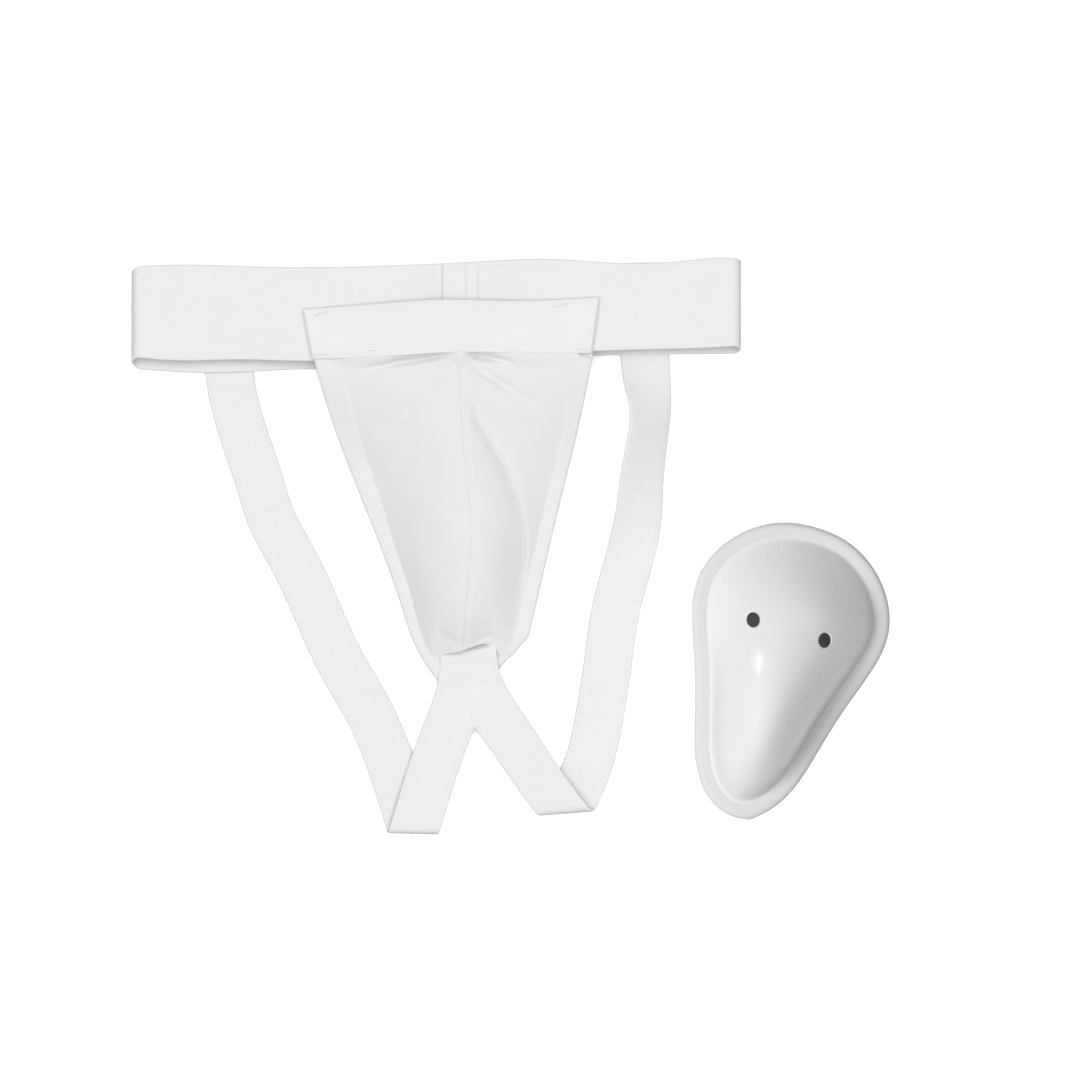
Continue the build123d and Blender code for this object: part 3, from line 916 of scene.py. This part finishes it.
def woven(name, colour, shade, across_pitch, along_pitch, depth, rough=0.86, sheen=0.25, edge=None):
    """Woven or knitted cloth: warp ribs and weft picks over the cloth's own length and width in mm."""
    made, tree, body = material(name, colour, rough, sheen, specular=0.18)
    link = tree.links.new
    uv = node(tree, "ShaderNodeUVMap", uv_map="along").outputs[0]
    place = node(tree, "ShaderNodeTexCoord").outputs["Object"]
    split = node(tree, "ShaderNodeSeparateXYZ")
    link(uv, split.inputs[0])
    u, v = split.outputs[0], split.outputs[1]
    wobble = maths(tree, "MULTIPLY", maths(tree, "SUBTRACT", noise(tree, place, 160, 2), 0.5), 1.6)
    u_turn = maths(tree, "MULTIPLY", maths(tree, "ADD", u, wobble), 2 * pi / across_pitch)
    rib = maths(tree, "SINE", u_turn)
    half = maths(tree, "MULTIPLY", maths(tree, "FLOOR", maths(tree, "DIVIDE", u, across_pitch)), pi)
    v_turn = maths(tree, "ADD", maths(tree, "MULTIPLY", v, 2 * pi / along_pitch), half)
    pick = maths(tree, "SINE", v_turn)
    weave = maths(tree, "ADD", maths(tree, "MULTIPLY", rib, 0.55), maths(tree, "MULTIPLY", pick, 0.45))
    fibre = noise(tree, place, 2600, 4, 0.7)
    height = maths(tree, "ADD", maths(tree, "MULTIPLY", weave, 0.5), maths(tree, "MULTIPLY", fibre, 0.8))
    if edge:
        rim = maths(tree, "SUBTRACT", maths(tree, "ABSOLUTE", u), edge)
        groove = ramp(tree, maths(tree, "ABSOLUTE", rim), 0.0, 0.45)
        height = maths(tree, "ADD", height, maths(tree, "MULTIPLY", groove, 1.2))
    cloud = ramp(tree, noise(tree, place, 34, 4, 0.6), 0.35, 0.7)
    thread = ramp(tree, weave, -1.0, 0.5)
    speck = ramp(tree, noise(tree, place, 900, 3, 0.6), 0.35, 0.65)
    tone = mix_colours(tree, cloud, colour, tuple(c * 0.985 for c in colour))
    # painted shade: the weave's low valleys between the threads are darkened towards the shade colour
    between = maths(tree, "MULTIPLY", maths(tree, "SUBTRACT", 1.0, thread), 0.35)
    tone = mix_colours(tree, between, tone, shade)
    tone = mix_colours(tree, maths(tree, "MULTIPLY", speck, 0.12), tone, shade)
    link(tone, body.inputs["Base Color"])
    slow = bump_node(tree, noise(tree, place, 240, 3), 0.12, 0.0006)
    link(bump_node(tree, height, 0.5, depth, slow), body.inputs["Normal"])
    return made


def moulded(name, colour, shade, rough, grain, strength, specular=0.45, coat=0.0):
    """Moulded plastic or soft rubber with a fine grain and slight wear."""
    made, tree, body = material(name, colour, rough, 0.0, specular, coat)
    link = tree.links.new
    place = node(tree, "ShaderNodeTexCoord").outputs["Object"]
    fine = noise(tree, place, grain, 3, 0.6)
    cloud = ramp(tree, noise(tree, place, 26, 4, 0.6), 0.35, 0.75)
    speck = ramp(tree, fine, 0.35, 0.68)
    tone = mix_colours(tree, cloud, colour, tuple(c * 0.98 for c in colour))
    tone = mix_colours(tree, maths(tree, "MULTIPLY", speck, 0.25), tone, shade)
    link(tone, body.inputs["Base Color"])
    rub = ramp(tree, noise(tree, place, 60, 5, 0.65), 0.3, 0.75)
    link(maths(tree, "ADD", maths(tree, "MULTIPLY", rub, 0.1), rough - 0.05), body.inputs["Roughness"])
    slow = bump_node(tree, noise(tree, place, 45, 2), 0.08, 0.002)
    link(bump_node(tree, fine, strength, 0.0002, slow), body.inputs["Normal"])
    return made


def spun(name, colour, shade):
    """Sewing thread: two plies twisted together."""
    made, tree, body = material(name, colour, 0.6, 0.2, specular=0.3)
    link = tree.links.new
    place = node(tree, "ShaderNodeTexCoord").outputs["Object"]
    split = node(tree, "ShaderNodeSeparateXYZ")
    link(place, split.inputs[0])
    sum_xyz = maths(tree, "ADD", maths(tree, "ADD", split.outputs[0], split.outputs[1]), split.outputs[2])
    ply = maths(tree, "SINE", maths(tree, "MULTIPLY", sum_xyz, 2 * pi / 0.0004))
    # painted shade: the grooves between the plies, where the ply wave is low, take the darker shade colour
    link(mix_colours(tree, ramp(tree, ply, -1, 1), shade, colour), body.inputs["Base Color"])
    link(bump_node(tree, ply, 0.4, 0.00006), body.inputs["Normal"])
    return made


WHITE = (0.82, 0.82, 0.815)
# how far from the middle of the elastics their edge grooves run, millimetres
BAND_GROOVE = 21.6
STRAP_GROOVE = 10.6
elastic_cloth = woven("waistband_elastic_weave", WHITE, (0.74, 0.74, 0.735), 1.35, 0.95, 0.00016,
                      edge=BAND_GROOVE)
webbing_cloth = woven("strap_elastic_weave", WHITE, (0.75, 0.75, 0.745), 1.25, 0.9, 0.00015,
                      edge=STRAP_GROOVE)
pouch_cloth = woven("pouch_knit", (0.8, 0.8, 0.795), (0.73, 0.73, 0.725), 0.7, 0.7, 0.00008, 0.9, 0.3)
band_cloth = woven("band_knit", (0.83, 0.83, 0.82), (0.75, 0.75, 0.74), 0.7, 0.75, 0.00009, 0.9, 0.3)
binding_cloth = woven("binding_knit", (0.795, 0.795, 0.785), (0.72, 0.72, 0.71), 0.75, 0.8, 0.0001,
                      0.9, 0.3)
thread_yarn = spun("sewing_yarn", (0.88, 0.875, 0.86), (0.8, 0.795, 0.78))
dome_plastic = moulded("cup_plastic_satin", (0.80, 0.805, 0.815), (0.63, 0.635, 0.645), 0.36, 1300, 0.8,
                       coat=0.25)
edge_rubber = moulded("cup_edge_soft", (0.73, 0.73, 0.735), (0.6, 0.602, 0.61), 0.5, 1300, 0.5)


# -------- making the pieces

def keep(piece, look, slot, *nodes, body="supporter"):
    """Gives a piece its finish and its body, and hides the CAD nodes it stands for."""
    piece.data.materials.clear()
    piece.data.materials.append(look)
    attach(piece, body)
    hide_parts(*nodes)
    return piece


waistband = keep(sheet("waistband", waistband_grid(), ELASTIC), elastic_cloth,
                 "waistband_elastic", "waistband_elastic")

left_line = LEFT_BACK_LEG + unfold(LEFT_FRONT_LEG, LEFT_CREASE, LEFT_CREASE_TURN, LEFT_FOLD[0])
left_grid = strap_grid(left_line, (-WEBBING_WIDTH / 2, WEBBING_WIDTH / 2), LEFT_CREASE, LEFT_CREASE_TURN,
                       LEFT_FOLD, LEFT_FRONT_Z, LEFT_ROLL, LEFT_HILLS)
left_strap = keep(sheet("leg_webbing_left", left_grid, WEBBING), webbing_cloth,
                  "strap_elastic", "leg_strap_left")

right_line = RIGHT_BACK_LEG + unfold(RIGHT_FRONT_LEG, RIGHT_CREASE, RIGHT_CREASE_TURN, RIGHT_FOLD[1])
right_grid = strap_grid(right_line, (0, WEBBING_WIDTH), RIGHT_CREASE, RIGHT_CREASE_TURN,
                        RIGHT_FOLD, RIGHT_FRONT_Z, RIGHT_ROLL, STUB_HILLS)
right_strap = keep(sheet("leg_webbing_right", right_grid, WEBBING), webbing_cloth,
                   "strap_elastic", "leg_strap_right")

back_panel = keep(sheet("pouch_back_layer", back_panel_grid(), KNIT), pouch_cloth,
                  "pouch_fabric", "pouch_back_panel")
front_left = keep(sheet("pouch_front_left", panel_grid("left"), KNIT), pouch_cloth,
                  "pouch_fabric", "pouch_front_panel_left")
front_right = keep(sheet("pouch_front_right", panel_grid("right"), KNIT), pouch_cloth,
                   "pouch_fabric", "pouch_front_panel_right")

left_strip = binding_grid(LEFT_EDGE, LEFT_BINDING, "left")
right_strip = binding_grid(RIGHT_EDGE, RIGHT_BINDING, "right")
binding_left = keep(sheet("pouch_binding_left", left_strip, BINDING), binding_cloth,
                    "binding_fabric", "side_binding_left")
binding_right = keep(sheet("pouch_binding_right", right_strip, BINDING), binding_cloth,
                     "binding_fabric", "side_binding_right")

across, up = np.meshgrid(np.linspace(0.004, 0.996, 110), np.linspace(0.03, 0.97, 15), indexing="ij")
top_band = keep(sheet("pouch_band", band_place(across, up), TOP_BAND), band_cloth,
                "band_fabric", "pouch_top_band")


# -------- stitching

STRIP_TOP = 92
STRIP_BOTTOM = -58
CROTCH_Z = 6.5


def on_strip(grid, share):
    """A line on a binding's upper face, some share of the way in from its outer edge."""
    a = share * (grid.shape[1] - 1)
    k = int(a)
    line = grid[:, k] + (grid[:, k + 1] - grid[:, k]) * (a - k)
    line = line + np.array([0, 0, BINDING / 2])
    return line[(line[:, 1] < STRIP_TOP) & (line[:, 1] > STRIP_BOTTOM)]


def on_band(start, end, v, count=160):
    """A line along the top band's face."""
    u = np.linspace(start, end, count)
    return band_place(u, np.full(count, v)) + np.array([0, 0, TOP_BAND / 2])


def on_waistband(x, y):
    """Height of the waistband's front face at a point; it is the same all across the band."""
    return FRONT_TOP + RIPPLE * sin(x / 8.0) + 0.12


def on_band_xy(x, y):
    """Height of the top band's face at a point."""
    return top_band.ray_cast(Vector((x, y, 60)) * MM, Vector((0, 0, -1)))[1].z / MM - 0.06


def on_crotch(x, y):
    """Height of the crotch tack, between the pouch's tip and the straps' ends."""
    return CROTCH_Z


def stitch_piece(name, paths, node_name, thickness=THREAD):
    """One piece of stitching in place of its CAD node."""
    return keep(threads(name, paths, thickness), thread_yarn, "sewing_thread", node_name)


stitch_piece("binding_threads_left", stitch_row(on_strip(left_strip, 0.86)), "binding_stitching_left")
stitch_piece("binding_threads_right", stitch_row(on_strip(right_strip, 0.84)), "binding_stitching_right")
stitch_piece("band_hem_threads", stitch_row(on_band(0.03, 0.97, 0.1)), "band_hem_stitching")

seam_y = np.linspace(96, -54, 200)
seam_x = read(SEAM_X, seam_y)
near_seam = np.full((len(seam_y), 1), 0.985)
seam_z = panel_height(near_seam, (seam_x - 0.9)[:, None], seam_y[:, None])[:, 0] + KNIT / 2 + 0.45
seam_line = np.column_stack([seam_x - 1.1, seam_y, seam_z])
stitch_piece("centre_seam_threads", stitch_row(seam_line, 2.0, 0.7), "centre_seam_stitching")

lap = []
for x in (-23.9, -17.5):
    lap += zigzag_row((x, 124.5), (x + 0.2, 149.0), 1.6, 1.5, on_waistband)
stitch_piece("waistband_lap_threads", lap, "waistband_lap_stitching", HEAVY_THREAD)

tacks = zigzag_row((-104.2, 121.2), (-96.2, 123.4), 1.5, 0.7, on_band_xy)
tacks += zigzag_row((-103.4, 100.6), (-95.6, 100.8), 1.5, 0.7, on_band_xy)
stitch_piece("corner_tack_threads_left", tacks, "pouch_corner_tacks_left", FINE_THREAD)
tacks = zigzag_row((23.0, 125.6), (31.0, 128.0), 1.5, 0.7, on_band_xy)
tacks += zigzag_row((34.6, 103.4), (41.4, 103.4), 1.5, 0.7, on_band_xy)
stitch_piece("corner_tack_threads_right", tacks, "pouch_corner_tacks_right", FINE_THREAD)
tacks = zigzag_row((-33.0, -56.5), (-12.0, -53.0), 2.0, 0.8, on_crotch)
stitch_piece("crotch_tack_threads", tacks, "crotch_tack")
for name in ("strap_end_tack_left", "strap_end_tack_right"):
    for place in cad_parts[name].material_slots:
        place.material = thread_yarn


# -------- cup

dome = cup_mesh()
cut_vents(dome)
dome.data.polygons.foreach_set("use_smooth", [True] * len(dome.data.polygons))
keep(dome, dome_plastic, "cup_plastic", "cup_shell", body="cup")
rim = keep(cup_rim(), edge_rubber, "cup_edge", "cup_edge_cushion", body="cup")


# -------- floor, light and camera

def make_floor(half=6.0):
    """A wide plain floor of pale paper, just under the pieces."""
    mesh = bpy.data.meshes.new("floor")
    corners = [(-half, -half, 0), (half, -half, 0), (half, half, 0), (-half, half, 0)]
    mesh.from_pydata(corners, [], [(0, 1, 2, 3)])
    floor = bpy.data.objects.new("floor", mesh)
    floor.data.materials.append(material("pale_floor", (0.93, 0.93, 0.93), 0.9, specular=0.0)[0])
    bpy.context.scene.collection.objects.link(floor)
    floor.location.z = -0.0004
    floor.visible_diffuse = False
    floor.visible_shadow = False
    return floor


def make_sky():
    """An even white sky above and a dim one below."""
    world = bpy.data.worlds.new("soft_sky")
    world.use_nodes = True
    tree = world.node_tree
    split = node(tree, "ShaderNodeSeparateXYZ")
    tree.links.new(node(tree, "ShaderNodeTexCoord").outputs["Generated"], split.inputs[0])
    above = ramp(tree, split.outputs[2], -0.05, 0.05)
    background = tree.nodes["Background"]
    tree.links.new(mix_colours(tree, above, (0.1, 0.1, 0.1), (1.0, 1.0, 1.0)), background.inputs[0])
    background.inputs[1].default_value = 0.42
    return world


def add_light(name, kind, place, target, power, size, lit):
    """A light, its size in degrees, that falls on some objects only, as when each is lit on its own."""
    lamp = bpy.data.lights.new(name, kind)
    lamp.energy = power
    if kind == "SPOT":
        lamp.spot_size = radians(size)
        lamp.spot_blend = 1.0
        lamp.shadow_soft_size = 0.004
    else:
        lamp.angle = radians(size)
    made = bpy.data.objects.new(name, lamp)
    made.location = place
    made.rotation_euler = (Vector(target) - Vector(place)).to_track_quat("-Z", "Y").to_euler()
    bpy.context.scene.collection.objects.link(made)
    group = bpy.data.collections.new(name + "_lit")
    for item in lit:
        group.objects.link(item)
    made.light_linking.receiver_collection = group
    return made


scene = bpy.context.scene
scene.world = make_sky()
scene.view_settings.view_transform = "Standard"
scene.view_settings.look = "None"
cup_pieces = [dome, rim]
supporter_pieces = [item for item in scene.objects if item.type == "MESH" and not item.hide_render
                    and item not in cup_pieces]
floor = make_floor()
add_light("supporter_key", "SUN", (0.0, 0.06, 1.0), (0, 0, 0), 2.08, 64, supporter_pieces)
add_light("table_bounce", "SUN", (0.0, 0.0, -1.0), (0, 0, 0), 1.0, 160, supporter_pieces)
key = add_light("cup_key", "SUN", (-0.6, -0.12, 1.0), (0, 0, 0), 2.25, 40, cup_pieces)
key.visible_glossy = False
side = add_light("cup_side", "SUN", (-0.95, -0.3, 0.45), (0, 0, 0), 0.09, 40, cup_pieces)
side.visible_glossy = False
# the small highlight on the dome, from a far, narrow lamp
GLINT_FROM = (-0.7206, 0.4113, 0.2739)
GLINT_ON = (0.1304, -0.0617, 0.0459)
glint = add_light("cup_glint", "SPOT", GLINT_FROM, GLINT_ON, 12, 0.5, [dome])
glint.visible_diffuse = False
add_light("floor_key", "SUN", (0.0, 0.0, 1.0), (0, 0, 0), 4.4, 100, [floor])

camera_data = bpy.data.cameras.new("camera")
camera = bpy.data.objects.new("camera", camera_data)
SENSOR = 36
FRAME_WIDTH = 0.5724
CAMERA_HEIGHT = 3.2
camera_data.sensor_width = SENSOR
camera_data.lens = SENSOR * CAMERA_HEIGHT / FRAME_WIDTH
camera_data.clip_end = 50
camera.location = (0.01537, 0.00291, CAMERA_HEIGHT)
scene.collection.objects.link(camera)
scene.camera = camera
